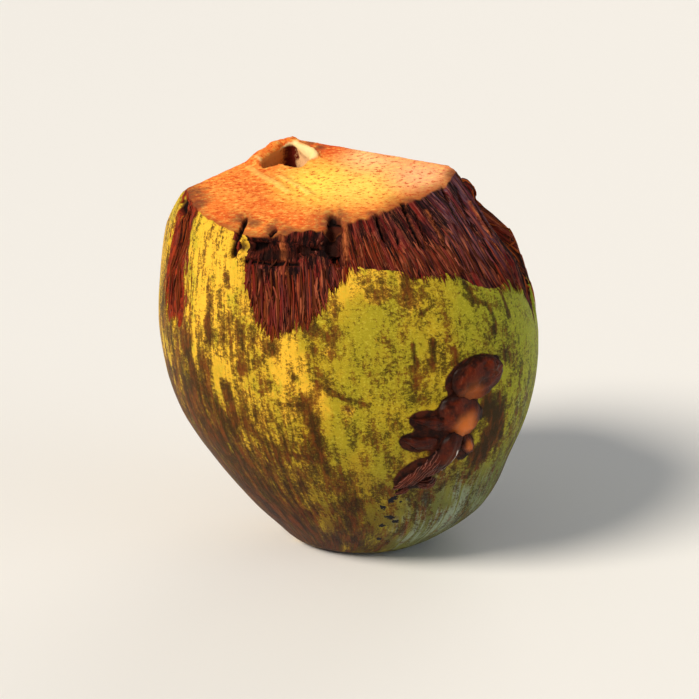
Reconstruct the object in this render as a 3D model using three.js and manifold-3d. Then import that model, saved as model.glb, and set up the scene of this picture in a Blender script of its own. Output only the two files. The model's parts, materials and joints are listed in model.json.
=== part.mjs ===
// A fresh green coconut, opened for drinking. Its top is chopped off on a slope, the rind round that cut
// is shaved down to fibre, a hole is chopped through the husk, and a dry scab clings to the lower front.
// Millimetres, +Z up, -Y at the front. The origin is under the belly's middle, on the resting surface.
// Angles are degrees round the fruit, 0 at +X and -90 at the front.
import * as THREE from 'three';
import { mergeVertices } from 'three/addons/utils/BufferGeometryUtils.js';
import Module from 'manifold-3d';

const wasm = await Module();
wasm.setup();

// Driving dimensions of the fruit as it grew
const BELLY_RADIUS = 78.5;
const BELLY_HEIGHT = 95;
const REST_FLAT_RADIUS = 24;
const FRONT_TO_BACK = 0.96;
const CORNER_SWELL = 0.03;
const CORNER_FACING = -42;
const SIDES = 76;
const RINGS = 46;
const RING_CROWDING = 1.25;

// The outline from the resting flat to the stem end: height, radius, and how far the middle leans along X
const OUTLINE = [
  { height: 0, radius: REST_FLAT_RADIUS, lean: 3 },
  { height: 1.6, radius: 30, lean: 4.5 },
  { height: 8, radius: 38.5, lean: 7 },
  { height: 22, radius: 52, lean: 8.5 },
  { height: 42, radius: 64, lean: 5.5 },
  { height: 66, radius: 74.5, lean: 3 },
  { height: BELLY_HEIGHT, radius: BELLY_RADIUS, lean: 1 },
  { height: 122, radius: 75, lean: -1.5 },
  { height: 146, radius: 66.5, lean: -5 },
  { height: 168, radius: 50, lean: -9 },
  { height: 190, radius: 30, lean: -13.5 },
  { height: 205, radius: 8, lean: -18 },
];

// A machete cut is flat. It faces a way round the fruit, tips up from upright by some degrees, and lies
// at a distance from the middle of the belly.
const TOP_CUT = { facing: -100, tip: 71, distance: 67.9 };
const REAR_TOP_CUTS = [
  { facing: 153, tip: 58.5, distance: 78.6 },
  { facing: 58, tip: 61, distance: 66.2 },
];
const SHAVED_CUTS = [
  { facing: -108, tip: 14, distance: 73.7 },
  { facing: -77, tip: 51, distance: 73.3 },
  { facing: -65.5, tip: 46.3, distance: 74.6 },
  { facing: -38.8, tip: 36.3, distance: 76 },
  { facing: 32, tip: 42, distance: 68 },
  { facing: 48, tip: 25, distance: 74.6 },
  { facing: 84, tip: 24, distance: 73.2 },
  { facing: 122, tip: 26, distance: 75 },
  { facing: 158, tip: 33, distance: 80.4 },
];
const ALL_CUTS = [TOP_CUT, ...REAR_TOP_CUTS, ...SHAVED_CUTS];
const CUT_BLOCK = 260;

// The drinking hole in plan, from its left end round the front. Its walls close in towards the floor.
const HOLE_OUTLINE = [
  [-38, -2], [-35.5, -6.6], [-29, -3.6], [-19.5, -8], [-14.5, -1], [-22.5, 12.6], [-27, 12],
];
const HOLE_FLOOR_HEIGHT = 120;
const HOLE_DEPTH = 70;
const HOLE_CLOSING = 0.78;

// Husk that the chopping raised round the hole: a rounded lip at the back left, a thin flap at the right
const HOLE_LIPS = [
  { at: [-28, 10.5, 167], heading: 40, length: 13, width: 6, rise: 2.6 },
  { at: [-18, 6.6, 166], heading: -58, length: 18, width: 4.6, rise: 3.4 },
];

// The deep chop at the right, open over the top and closing at the belly, with a tuft left standing in it
const NOTCH = { middle: [52, -7, 173], end: [79.5, -21, 87], open: [0.84, -0.36, 0.4], width: 44, depth: 22 };
const NOTCH_TUFT = { at: [46.5, -1.5, 150.5], heading: -70, length: 13, width: 10, rise: 7.5 };

// Splits from the fresh face over its rim and down the shaved side
const RIM_SPLITS = [
  { facing: -129, length: 22, width: 1.8, depth: 3.5 },
  { facing: -119.5, length: 11, width: 1.6, depth: 3 },
  { facing: -97, length: 27, width: 7, depth: 9 },
  { facing: -76, length: 15, width: 1.8, depth: 4 },
  { facing: -62, length: 24, width: 2.4, depth: 4 },
  { facing: -36, length: 12, width: 1.8, depth: 3.5 },
];

// Chops across and down the side. A turn of 0 lies level, and 90 runs up and down.
const SIDE_CHOPS = [
  { facing: -154, height: 139, length: 66, width: 17, depth: 2.8, turn: 86 },
  { facing: -112, height: 140, length: 40, width: 9, depth: 2.2, turn: 0 },
  { facing: -124, height: 142, length: 7, width: 8, depth: 4, turn: 0 },
  { facing: -102, height: 142.5, length: 13, width: 3.5, depth: 4, turn: 4 },
];

// Furrows between the fibres of the shaved side, drawn by a seeded row of numbers
const FURROWS = { perCut: 9, apart: 4.6, jitter: 2, lowest: 127, highest: 151, seed: 11 };

// The dry scab at the lower front: overlapping flakes that swell out of the skin
const SCAB_FLAKES = [
  { facing: -53, height: 92, length: 27, width: 18, rise: 3.4, turn: 8 },
  { facing: -59, height: 77, length: 20, width: 22, rise: 4.2, turn: -30 },
  { facing: -55, height: 62, length: 9, width: 13, rise: 2.6, turn: 0 },
  { facing: -67, height: 76, length: 19, width: 10, rise: 2.8, turn: -14 },
  { facing: -71, height: 67.5, length: 16, width: 9.5, rise: 2.6, turn: -10 },
  { facing: -62, height: 62, length: 24, width: 11.5, rise: 3.6, turn: 72 },
  { facing: -71, height: 52, length: 21, width: 14, rise: 2.2, turn: 50 },
  { facing: -68, height: 47, length: 8, width: 6, rise: 2.4, turn: 10 },
];
const LUMP_SIDES = 14;
const LUMP_RINGS = 8;

const UP = new THREE.Vector3(0, 0, 1);
const BELLY_MIDDLE = new THREE.Vector3(0, 0, BELLY_HEIGHT);
const radians = THREE.MathUtils.degToRad;

// Closed solids from geometries, and back
function solidFrom(geometry) {
  const bare = geometry.clone();
  bare.deleteAttribute('normal');
  bare.deleteAttribute('uv');
  const closed = mergeVertices(bare, 1e-4);
  return new wasm.Manifold(new wasm.Mesh({
    numProp: 3,
    vertProperties: new Float32Array(closed.attributes.position.array),
    triVerts: new Uint32Array(closed.index.array),
  }));
}

function geometryFrom(solid) {
  const { vertProperties, triVerts } = solid.getMesh();
  const geometry = new THREE.BufferGeometry();
  geometry.setAttribute('position', new THREE.BufferAttribute(vertProperties, 3));
  geometry.setIndex(new THREE.BufferAttribute(triVerts, 1));
  geometry.computeVertexNormals();
  return geometry;
}

// A smooth curve through the outline's stations. The slope at a station comes from its neighbours.
function outlineAt(height, key) {
  const last = OUTLINE.length - 1;
  const next = OUTLINE.findIndex((station) => station.height >= height);
  const above = Math.max(1, next < 0 ? last : next);
  const [a, b] = [OUTLINE[above - 1], OUTLINE[above]];
  const before = OUTLINE[Math.max(0, above - 2)];
  const after = OUTLINE[Math.min(last, above + 1)];
  const span = b.height - a.height;
  const t = THREE.MathUtils.clamp((height - a.height) / span, 0, 1);
  const slopeA = (b[key] - before[key]) / (b.height - before.height) * span;
  const slopeB = (after[key] - a[key]) / (after.height - a.height) * span;
  return (2 * t ** 3 - 3 * t ** 2 + 1) * a[key] + (t ** 3 - 2 * t ** 2 + t) * slopeA
    + (3 * t ** 2 - 2 * t ** 3) * b[key] + (t ** 3 - t ** 2) * slopeB;
}

// The swell of the fruit's three soft corners
function cornerFactor(turn) {
  return 1 + CORNER_SWELL * Math.cos(3 * (turn - radians(CORNER_FACING)));
}

function grownFruit() {
  const stemEnd = OUTLINE.at(-1).height;
  const profile = [new THREE.Vector2(0, 0), new THREE.Vector2(REST_FLAT_RADIUS, 0)];
  for (let ring = 1; ring < RINGS; ring += 1) {
    const height = stemEnd * (ring / RINGS) ** RING_CROWDING;
    profile.push(new THREE.Vector2(outlineAt(height, 'radius'), height));
  }
  profile.push(new THREE.Vector2(0, stemEnd));
  const geometry = new THREE.LatheGeometry(profile, SIDES);
  geometry.rotateX(Math.PI / 2);
  const place = geometry.attributes.position;
  for (let i = 0; i < place.count; i += 1) {
    const height = place.getZ(i);
    const factor = cornerFactor(Math.atan2(place.getY(i), place.getX(i)));
    const x = place.getX(i) * factor + outlineAt(height, 'lean');
    place.setXYZ(i, x, place.getY(i) * factor * FRONT_TO_BACK, height);
  }
  return solidFrom(geometry);
}

function direction(facing, tip = 0) {
  const level = Math.cos(radians(tip));
  const [x, y] = [level * Math.cos(radians(facing)), level * Math.sin(radians(facing))];
  return new THREE.Vector3(x, y, Math.sin(radians(tip)));
}

// How deep a point lies under a cut, under the grown skin, and under whichever is nearer
function depthUnderCut(point, cut) {
  return cut.distance - point.clone().sub(BELLY_MIDDLE).dot(direction(cut.facing, cut.tip));
}

function depthUnderSkin(point) {
  const x = point.x - outlineAt(point.z, 'lean');
  const y = point.y / FRONT_TO_BACK;
  return outlineAt(point.z, 'radius') * cornerFactor(Math.atan2(y, x)) - Math.hypot(x, y);
}

function depthUnderSurface(point) {
  return Math.min(depthUnderSkin(point), ...ALL_CUTS.map((cut) => depthUnderCut(point, cut)));
}

// The place where a line from inside leaves the cut fruit, and the way that the surface faces there
function surfacePlace(start, heading) {
  let inside = 0;
  let outside = 2 * BELLY_RADIUS;
  for (let step = 0; step < 30; step += 1) {
    const middle = (inside + outside) / 2;
    const deep = depthUnderSurface(start.clone().addScaledVector(heading, middle)) > 0;
    inside = deep ? middle : inside;
    outside = deep ? outside : middle;
  }
  const point = start.clone().addScaledVector(heading, inside);
  const slopeAlong = (x, y, z) => depthUnderSurface(point.clone().sub(new THREE.Vector3(x, y, z)))
    - depthUnderSurface(point.clone().add(new THREE.Vector3(x, y, z)));
  const nudge = 0.5;
  const out = new THREE.Vector3(slopeAlong(nudge, 0, 0), slopeAlong(0, nudge, 0), slopeAlong(0, 0, nudge));
  return { point, out: out.normalize() };
}

function sidePlace(facing, height) {
  return surfacePlace(new THREE.Vector3(outlineAt(height, 'lean'), 0, height), direction(facing));
}

// The front rim, where the fresh top face meets the side
function rimPlace(facing) {
  const fall = direction(TOP_CUT.facing, TOP_CUT.tip);
  const heading = direction(facing);
  heading.z = -(heading.x * fall.x + heading.y * fall.y) / fall.z;
  const start = new THREE.Vector3(0, 0, BELLY_HEIGHT + TOP_CUT.distance / fall.z - 0.05);
  return surfacePlace(start, heading.normalize()).point;
}

// Lays a shape on a place: its X goes along, its Z points out
function lay(geometry, point, out, along) {
  const across = new THREE.Vector3().crossVectors(out, along).normalize();
  const straight = new THREE.Vector3().crossVectors(across, out).normalize();
  const turn = new THREE.Matrix4().makeBasis(straight, across, out);
  return geometry.applyMatrix4(turn.setPosition(point));
}

function turnedFromLevel(out, turn) {
  return new THREE.Vector3().crossVectors(UP, out).applyAxisAngle(out, radians(turn));
}

// A machete leaves a boat-shaped chop, sharp along its bottom and pointed at both ends
function chop(point, out, along, { length, width, depth }) {
  const boat = new THREE.OctahedronGeometry(1).scale(length / 2, width / 2, depth);
  return solidFrom(lay(boat, point, out, along));
}

// A lump is a ball pressed to its length, width and rise
function lump(point, out, along, { length, width, rise }) {
  const ball = new THREE.SphereGeometry(1, LUMP_SIDES, LUMP_RINGS).scale(length / 2, width / 2, rise);
  return solidFrom(lay(ball, point, out, along));
}

function sliceOff(body, cut) {
  const out = direction(cut.facing, cut.tip);
  const block = new THREE.BoxGeometry(CUT_BLOCK, CUT_BLOCK, CUT_BLOCK);
  const middle = BELLY_MIDDLE.clone().addScaledVector(out, cut.distance + CUT_BLOCK / 2);
  return body.subtract(solidFrom(lay(block, middle, out, turnedFromLevel(out, 0))));
}

function drinkingHole() {
  const outline = new THREE.Shape(HOLE_OUTLINE.map(([x, y]) => new THREE.Vector2(x, y)));
  const well = new THREE.ExtrudeGeometry(outline, { depth: HOLE_DEPTH, bevelEnabled: false });
  well.computeBoundingBox();
  const middle = well.boundingBox.getCenter(new THREE.Vector3());
  const place = well.attributes.position;
  for (let i = 0; i < place.count; i += 1) {
    const closing = place.getZ(i) > 0 ? 1 : HOLE_CLOSING;
    place.setX(i, middle.x + (place.getX(i) - middle.x) * closing);
    place.setY(i, middle.y + (place.getY(i) - middle.y) * closing);
  }
  return solidFrom(well.translate(0, 0, HOLE_FLOOR_HEIGHT));
}

function raisedHusk({ at, heading, ...size }) {
  return lump(new THREE.Vector3(...at), UP, direction(heading), size);
}

function notch({ middle, end, open, width, depth }) {
  const point = new THREE.Vector3(...middle);
  const along = new THREE.Vector3(...end).sub(point);
  const out = new THREE.Vector3(...open).normalize();
  return chop(point, out, along, { length: 2 * along.length(), width, depth });
}

function rimSplit({ facing, ...size }) {
  return chop(rimPlace(facing), direction(facing, 45), direction(facing, -45), size);
}

function sideChop({ facing, height, turn, ...size }) {
  const { point, out } = sidePlace(facing, height);
  return chop(point, out, turnedFromLevel(out, turn), size);
}

function scabFlake({ facing, height, turn, ...size }) {
  const { point, out } = sidePlace(facing, height);
  return lump(point, out, turnedFromLevel(out, turn), size);
}

function seededNumbers(seed) {
  let state = seed;
  return () => {
    state = (state * 16807) % 2147483647;
    return state / 2147483647;
  };
}

// Furrows fan out across each shaved cut and run down its fall
function furrows() {
  const random = seededNumbers(FURROWS.seed);
  const found = [];
  for (const cut of SHAVED_CUTS) {
    for (let i = 0; i < FURROWS.perCut; i += 1) {
      const offset = (i - (FURROWS.perCut - 1) / 2) * FURROWS.apart + FURROWS.jitter * (random() - 0.5);
      const height = THREE.MathUtils.lerp(FURROWS.lowest, FURROWS.highest, random());
      const size = { length: 13 + 13 * random(), width: 1.6 + 1.4 * random(), depth: 1 + random() };
      const { point } = sidePlace(cut.facing + offset, height);
      const onThisCut = Math.abs(depthUnderCut(point, cut)) < 0.01;
      const out = direction(cut.facing, cut.tip);
      const along = direction(cut.facing + offset, cut.tip - 90);
      if (onThisCut) found.push(chop(point, out, along, size));
    }
  }
  return found;
}

function choppedFruit() {
  const sliced = ALL_CUTS.reduce(sliceOff, grownFruit());
  const raised = [...HOLE_LIPS.map(raisedHusk), ...SCAB_FLAKES.map(scabFlake)];
  const chopped = [
    drinkingHole(),
    notch(NOTCH),
    ...RIM_SPLITS.map(rimSplit),
    ...SIDE_CHOPS.map(sideChop),
    ...furrows(),
  ];
  const whole = raised.reduce((body, piece) => body.add(piece), sliced);
  return chopped.reduce((body, piece) => body.subtract(piece), whole).add(raisedHusk(NOTCH_TUFT));
}

const huskMaterial = new THREE.MeshStandardMaterial({ color: 0x9a9a34, roughness: 0.55, metalness: 0 });
const husk = new THREE.Mesh(geometryFrom(choppedFruit()), huskMaterial);
husk.name = 'husk';

// The origin goes under the middle of the fruit's own box
const box = new THREE.Box3().setFromObject(husk);
const middle = box.getCenter(new THREE.Vector3());
husk.position.set(-middle.x, -middle.y, -box.min.z);

const coconut = new THREE.Group();
coconut.add(husk);

export default coconut;
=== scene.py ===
import json
import math
import random

import bpy
import numpy as np
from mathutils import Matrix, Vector, noise
from mathutils.bvhtree import BVHTree

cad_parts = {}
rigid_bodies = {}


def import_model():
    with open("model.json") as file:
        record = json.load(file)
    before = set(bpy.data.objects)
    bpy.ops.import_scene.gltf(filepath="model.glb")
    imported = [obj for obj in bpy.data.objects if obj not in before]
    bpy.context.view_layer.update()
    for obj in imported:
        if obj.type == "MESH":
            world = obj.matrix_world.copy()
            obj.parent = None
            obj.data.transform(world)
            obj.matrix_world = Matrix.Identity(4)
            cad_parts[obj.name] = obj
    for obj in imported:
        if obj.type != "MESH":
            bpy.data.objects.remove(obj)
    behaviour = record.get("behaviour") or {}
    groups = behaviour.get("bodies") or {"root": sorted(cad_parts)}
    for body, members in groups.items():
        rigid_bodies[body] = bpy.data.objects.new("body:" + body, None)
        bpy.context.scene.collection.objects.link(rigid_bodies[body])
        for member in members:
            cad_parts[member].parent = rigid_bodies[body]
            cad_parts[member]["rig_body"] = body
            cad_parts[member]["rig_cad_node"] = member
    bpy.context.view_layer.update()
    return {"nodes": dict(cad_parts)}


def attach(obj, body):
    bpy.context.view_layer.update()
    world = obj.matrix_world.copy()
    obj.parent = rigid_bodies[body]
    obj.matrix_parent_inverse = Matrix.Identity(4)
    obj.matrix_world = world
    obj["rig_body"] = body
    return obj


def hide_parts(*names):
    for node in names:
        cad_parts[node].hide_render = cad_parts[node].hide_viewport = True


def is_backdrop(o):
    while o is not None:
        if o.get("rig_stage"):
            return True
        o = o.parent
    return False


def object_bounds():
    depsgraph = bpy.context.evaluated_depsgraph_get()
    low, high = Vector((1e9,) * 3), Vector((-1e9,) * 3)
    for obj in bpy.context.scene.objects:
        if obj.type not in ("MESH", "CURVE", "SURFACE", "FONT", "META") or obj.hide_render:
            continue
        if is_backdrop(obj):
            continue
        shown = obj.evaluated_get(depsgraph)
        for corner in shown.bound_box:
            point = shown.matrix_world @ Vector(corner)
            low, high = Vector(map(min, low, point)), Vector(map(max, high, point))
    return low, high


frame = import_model()

# The fruit
# One grown body of thick fibrous husk under a thin waxy rind. A machete took its top off on a slope,
# shaved the rind round that cut down to red-brown fibre, opened the drinking hole and tore the side.
bpy.ops.object.select_all(action="DESELECT")
husk = frame["nodes"]["husk"]
husk.select_set(True)
bpy.context.view_layer.objects.active = husk
bpy.ops.object.duplicate()
fruit = bpy.context.active_object
fruit.name = "fruit"
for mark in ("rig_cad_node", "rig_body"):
    del fruit[mark]
bpy.ops.object.mode_set(mode="EDIT")
bpy.ops.mesh.select_all(action="SELECT")
bpy.ops.mesh.remove_doubles(threshold=0.00002)
bpy.ops.object.mode_set(mode="OBJECT")

# Its skin is made of small even faces, with fewer of them in the lower part, which has less relief
FACE_STEP = 0.00098
COARSER_BELOW = 0.105
COARSER_SHARE = 0.56
even_skin = fruit.modifiers.new("even skin", "REMESH")
even_skin.mode = "VOXEL"
even_skin.voxel_size = FACE_STEP
bpy.ops.object.modifier_apply(modifier=even_skin.name)
bpy.ops.object.mode_set(mode="EDIT")
bpy.ops.mesh.select_all(action="DESELECT")
bpy.ops.object.mode_set(mode="OBJECT")
for corner in fruit.data.vertices:
    corner.select = corner.co.z < COARSER_BELOW
bpy.ops.object.mode_set(mode="EDIT")
bpy.ops.mesh.select_mode(type="VERT")
bpy.ops.mesh.decimate(ratio=COARSER_SHARE)
bpy.ops.object.mode_set(mode="OBJECT")
bpy.ops.object.shade_smooth()

# Places on it are millimetres from the middle of the grown fruit, and turns are degrees round it, with
# 0 at the right and -90 at the front. Each station gives a height, a radius and the middle's lean.
MM = 1000
MIDDLE = np.array([0.379, -1.767, 0.0])
FRONT_TO_BACK = 0.96
STATIONS = np.array([
    (0, 24, 3), (1.6, 30, 4.5), (8, 38.5, 7), (22, 52, 8.5), (42, 64, 5.5), (66, 74.5, 3),
    (95, 78.5, 1), (122, 75, -1.5), (146, 66.5, -5), (168, 50, -9), (190, 30, -13.5), (205, 8, -18),
])
# Each cut gives the turn that it faces, its tilt up in degrees, and how far it lies from CUTS_FROM
CUTS_FROM = np.array([0, 0, 95])
TOP_CUTS = np.array([(-100, 71, 67.9), (153, 58.5, 78.6), (58, 61, 66.2)])
SHAVED_CUTS = np.array([
    (-108, 14, 73.7), (-77, 51, 73.3), (-65.5, 46.3, 74.6), (-38.8, 36.3, 76), (32, 42, 68),
    (48, 25, 74.6), (84, 24, 73.2), (122, 26, 75), (158, 33, 80.4),
])


def outline_at(height, column):
    stations, value = STATIONS[:, 0], STATIONS[:, column]
    slope = np.gradient(value, stations)
    slope[1:-1] = (value[2:] - value[:-2]) / (stations[2:] - stations[:-2])
    k = np.clip(np.searchsorted(stations, height) - 1, 0, len(stations) - 2)
    span = stations[k + 1] - stations[k]
    t = np.clip((height - stations[k]) / span, 0, 1)
    return (
        (2 * t**3 - 3 * t**2 + 1) * value[k] + (t**3 - 2 * t**2 + t) * slope[k] * span
        + (3 * t**2 - 2 * t**3) * value[k + 1] + (t**3 - t**2) * slope[k + 1] * span
    )


def swell(turn):
    three_sided = 0.03
    return 1 + three_sided * np.cos(3 * (turn + math.radians(42)))


def skin_at(facing, height):
    turn = math.radians(facing)
    radius = outline_at(height, 1) * swell(turn)
    return np.array([
        outline_at(height, 2) + radius * math.cos(turn), FRONT_TO_BACK * radius * math.sin(turn), height,
    ])


def turn_of(spot):
    return np.arctan2(spot[:, 1] / FRONT_TO_BACK, spot[:, 0] - outline_at(spot[:, 2], 2))


def under_skin(spot):
    reach = np.hypot(spot[:, 0] - outline_at(spot[:, 2], 2), spot[:, 1] / FRONT_TO_BACK)
    return outline_at(spot[:, 2], 1) * swell(turn_of(spot)) - reach


def under_cuts(spot, cuts):
    facing, tip = np.radians(cuts[:, 0]), np.radians(cuts[:, 1])
    out = np.stack([np.cos(tip) * np.cos(facing), np.cos(tip) * np.sin(facing), np.sin(tip)])
    return (cuts[:, 2] - (spot - CUTS_FROM) @ out).min(axis=1)


def smooth_step(low, high, value):
    t = np.clip((value - low) / (high - low), 0, 1)
    return t * t * (3 - 2 * t)


def grain(spots, size, seed=0.0):
    stretched = spots / np.array(size) + seed
    return np.array([noise.noise(Vector(s)) for s in stretched])


def distance_to(spot, route):
    best = np.full(len(spot), 1e9)
    for start, end in zip(route[:-1], route[1:]):
        way = end - start
        t = np.clip((spot - start) @ way / (way @ way), 0, 1)
        best = np.minimum(best, np.linalg.norm(spot - start - t[:, None] * way, axis=1))
    return best


def spots_of(mesh):
    found = np.empty(len(mesh.vertices) * 3)
    mesh.vertices.foreach_get("co", found)
    return found.reshape(-1, 3) * MM - MIDDLE


def in_metres(spot):
    return (spot + MIDDLE) / MM


def store(mesh, name, values):
    kind = "FLOAT_VECTOR" if values.ndim == 2 else "FLOAT"
    layer = mesh.attributes.new(name, kind, "POINT")
    layer.data.foreach_set("vector" if values.ndim == 2 else "value", values.astype(np.float32).ravel())


skin = fruit.data
spot = spots_of(skin)

# The rind is evened out to the grown curve, away from everything that was cut or grew on it
in_skin = under_skin(spot)
in_top = under_cuts(spot, TOP_CUTS)
in_shave = under_cuts(spot, SHAVED_CUTS)
bare_rind = (np.abs(in_skin) < 0.3) & (in_top > 0.8) & (in_shave > 0.4) & (spot[:, 2] > 2)
axis = np.stack([outline_at(spot[:, 2], 2), np.zeros(len(spot)), spot[:, 2]], axis=1)
outward = spot - axis
outward /= np.linalg.norm(outward, axis=1)[:, None]
spot[bare_rind] += outward[bare_rind] * in_skin[bare_rind, None]

# Where each region lies: how far in from the fresh face's rim, how far above the shaved band's lower
# edge, how deep under the cut surface, and how far a growth stands out of the rind
turn = turn_of(spot)
facing = np.degrees(turn)
height = spot[:, 2]
in_side = np.minimum(in_skin, in_shave)
rim = in_side - in_top
deep = np.minimum(in_side, in_top)

# A pattern that runs down the fruit is laid on an upright drum of this radius
DRUM = 72
around = np.stack([DRUM * np.cos(turn), DRUM * np.sin(turn), height], axis=1)

# The rim wavers, and is broken back about the torn place at its front left
TORN_RIM = (-22, -60)
TORN_BACK, WAVER = 3.0, 0.5
ragged = np.hypot(spot[:, 0] - TORN_RIM[0], spot[:, 1] - TORN_RIM[1])
rim -= TORN_BACK * (1 - smooth_step(4, 17, ragged)) + WAVER * grain(around, (3, 3, 3), 12.0)

# The height of the band's lower edge at each turn, and NO_BAND where the rind reaches the rim
NO_BAND = 300
BAND_EDGE = np.array([
    (-180, NO_BAND), (-127.6, NO_BAND), (-127, 142), (-126.4, 137), (-124.6, 138), (-123.9, 144),
    (-123.7, NO_BAND), (-122.5, NO_BAND), (-122.3, 139), (-121.4, 131), (-120, 126), (-118, 116),
    (-113, 110), (-109, 113), (-101, 117), (-97, 123), (-93, 131), (-88, 134), (-84, 138), (-75, 138),
    (-69, 134), (-60, 133), (-52, 132), (-46, 133), (-41, 129), (-37, 123), (-30, 121), (-24, 117),
    (-18, 104), (-12, NO_BAND), (180, NO_BAND),
])
above_edge = height - np.interp(facing, BAND_EDGE[:, 0], BAND_EDGE[:, 1])

# Husk is bare on a strip at the left too, along the rim at the right, and where a cut went through the
# rind, but not on the rind kept between the strip and the band
CUT_THROUGH, MOST_ABOVE = 0.9, 9
left_strip = [skin_at(-156, 163), skin_at(-154.5, 156), skin_at(-153, 135), skin_at(-152, 116)]
strip_half = np.interp(height, [116, 148, 153, 160], [9.5, 7.5, 9, 12])
shaved = np.maximum(above_edge, strip_half - distance_to(spot, left_strip))
rear_rim = [skin_at(18, 152), skin_at(8, 137), skin_at(-4, 122)]
shaved = np.maximum(shaved, MOST_ABOVE - distance_to(spot, rear_rim))
kept_rind = (facing > -150) & (facing < -122.3)
cut_through = np.minimum(25 * (in_skin - CUT_THROUGH), MOST_ABOVE)
shaved = np.where(kept_rind, shaved, np.maximum(shaved, cut_through))

# The side chop, the well of the drinking hole, and the scab, which stands out of the lower front
HOLE = (-25.5, 2.5)
in_notch = smooth_step(-27, -19, facing) * smooth_step(40, 28, facing) * smooth_step(0.6, 2.2, in_side)
in_notch *= smooth_step(0.0, -1.0, rim)
well = smooth_step(19, 17, np.hypot(spot[:, 0] - HOLE[0], spot[:, 1] - HOLE[1]))
lower_front = (height > 38) & (height < 112) & (facing > -95) & (facing < -20)
raised = np.where(lower_front, -in_skin, -1)

# Stains on the rind: the route of each over the skin in turns and heights, half its width, and how dark
# it is. VEILS are wide and faint, GOLDEN_AND_WARM_LIGHT is sun-ripened rind with painted warm light on it
# and COOL_SHEEN a painted cool sheen, told in like terms.
STAINS = [
    ([(-135, 112), (-134, 105)], 2.1, 1.0),
    ([(-148, 103), (-144, 93), (-142, 86)], 2.9, 1.0),
    ([(-142, 86), (-137, 82), (-134, 74), (-137, 59)], 3.3, 1.0),
    ([(-137, 59), (-135, 52), (-133, 42), (-127, 32), (-128, 14)], 3.3, 0.95),
    ([(-130, 87), (-129, 74), (-125, 71), (-118, 63)], 3.3, 0.85),
    ([(-118, 63), (-117, 57), (-118, 45), (-123, 29)], 2.9, 0.95),
    ([(-144, 85), (-143, 69), (-142, 54)], 2.5, 0.8),
    ([(-151, 97), (-151, 82), (-150, 69)], 1.6, 0.6),
    ([(-160, 117), (-153, 107), (-148, 100)], 2.5, 0.6),
    ([(-119, 99), (-113, 104)], 2.5, 0.85),
    ([(-124, 97), (-121, 95)], 2.5, 0.75),
    ([(-116, 98), (-115, 91)], 2.1, 0.7),
    ([(-107, 95), (-105, 85)], 0.9, 1.0),
    ([(-105, 85), (-103, 78), (-102, 68)], 2.7, 1.0),
    ([(-102, 68), (-102, 58), (-97, 48)], 3.3, 0.9),
    ([(-97, 48), (-96, 36), (-97, 14)], 5.3, 0.85),
    ([(-103, 116), (-96, 112)], 2.9, 0.8),
    ([(-101, 106), (-101, 97)], 2.9, 0.7),
    ([(-101, 94), (-92, 87), (-85, 84)], 0.6, 0.9),
    ([(-100, 92), (-91, 85)], 0.5, 0.8),
    ([(-117, 60), (-108, 60), (-103, 58)], 1.2, 0.95),
    ([(-132, 44), (-129, 43)], 1.0, 1.1),
    ([(-117, 84), (-114, 74)], 0.7, 0.7),
    ([(-94, 124), (-93, 121)], 2.1, 0.5),
    ([(-82, 132), (-81, 127)], 2.1, 0.55),
    ([(-77, 127), (-72, 125), (-67, 126)], 1.6, 0.5),
    ([(-69, 138), (-71, 128)], 0.5, 1.0),
    ([(-68, 119), (-64, 122)], 0.7, 0.8),
    ([(-72, 108), (-72, 99)], 1.4, 1.1),
    ([(-66, 109), (-67, 98)], 1.2, 0.95),
    ([(-60, 105), (-60, 99)], 1.1, 0.95),
    ([(-52, 128), (-50, 121), (-46, 119), (-44, 112), (-45, 108)], 1.6, 0.85),
    ([(-39, 125), (-38, 118), (-38, 112)], 0.7, 1.1),
    ([(-41, 101), (-41, 93)], 1.9, 0.9),
    ([(-73, 96), (-72, 86)], 2.5, 0.62),
    ([(-70, 87), (-70, 84)], 1.2, 0.8),
    ([(-49, 78), (-44, 70), (-47, 61), (-50, 58)], 4.8, 1.5),
    ([(-39, 88), (-39, 85)], 2.1, 0.65),
    ([(-52, 46), (-48, 49)], 1.2, 0.85),
    ([(-71, 35), (-67, 40)], 2.1, 0.6),
    ([(-127, 114), (-119, 109)], 3.3, 0.55),
    ([(-98, 54), (-91, 44)], 2.9, 0.6),
    ([(-86, 74), (-83, 60)], 2.5, 0.45),
    ([(-117, 36), (-116, 14)], 3.6, 0.6),
    ([(-128, 131), (-127, 127)], 1.6, 0.9),
    ([(-58, 51), (-65, 37), (-76, 21), (-82, 5)], 0.8, 0.8),
    ([(-120, 88), (-112, 82), (-104, 84)], 0.6, 0.7), ([(-118, 70), (-110, 74)], 0.5, 0.7),
    ([(-92, 70), (-86, 52)], 1.2, 0.55), ([(-79, 110), (-77, 100)], 1.1, 0.5),
]
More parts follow.
